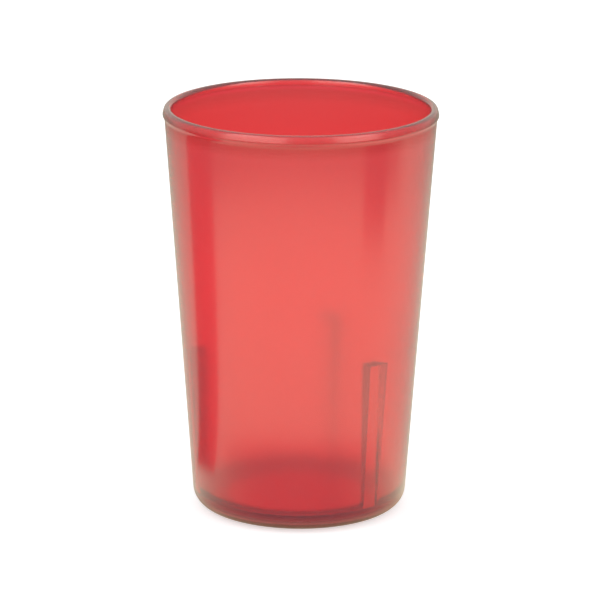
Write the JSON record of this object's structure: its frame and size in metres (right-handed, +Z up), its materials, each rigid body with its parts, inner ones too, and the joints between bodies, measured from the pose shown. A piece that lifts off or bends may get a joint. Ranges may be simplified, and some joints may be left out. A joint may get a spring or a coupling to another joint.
{
  "type": "stacking plastic tumbler",
  "caption": "Tapered stacking tumbler of clear red plastic with a beaded lip, a rounded heel, a recessed foot and stacking lugs inside.",
  "frame": {"origin": "on the cup's axis, in the plane of the foot ring that stands on the table", "axes": "+Z up along the cup's axis, +X through the middle of the first stacking lug"},
  "size_m": [0.0702, 0.0702, 0.105],
  "materials": {
    "red_plastic": "clear red tinted plastic, glossy inside and on the lip, lightly frosted on the outer wall"
  },
  "bodies": {
    "root": {"tumbler": "red_plastic"}
  },
  "joints": []
}
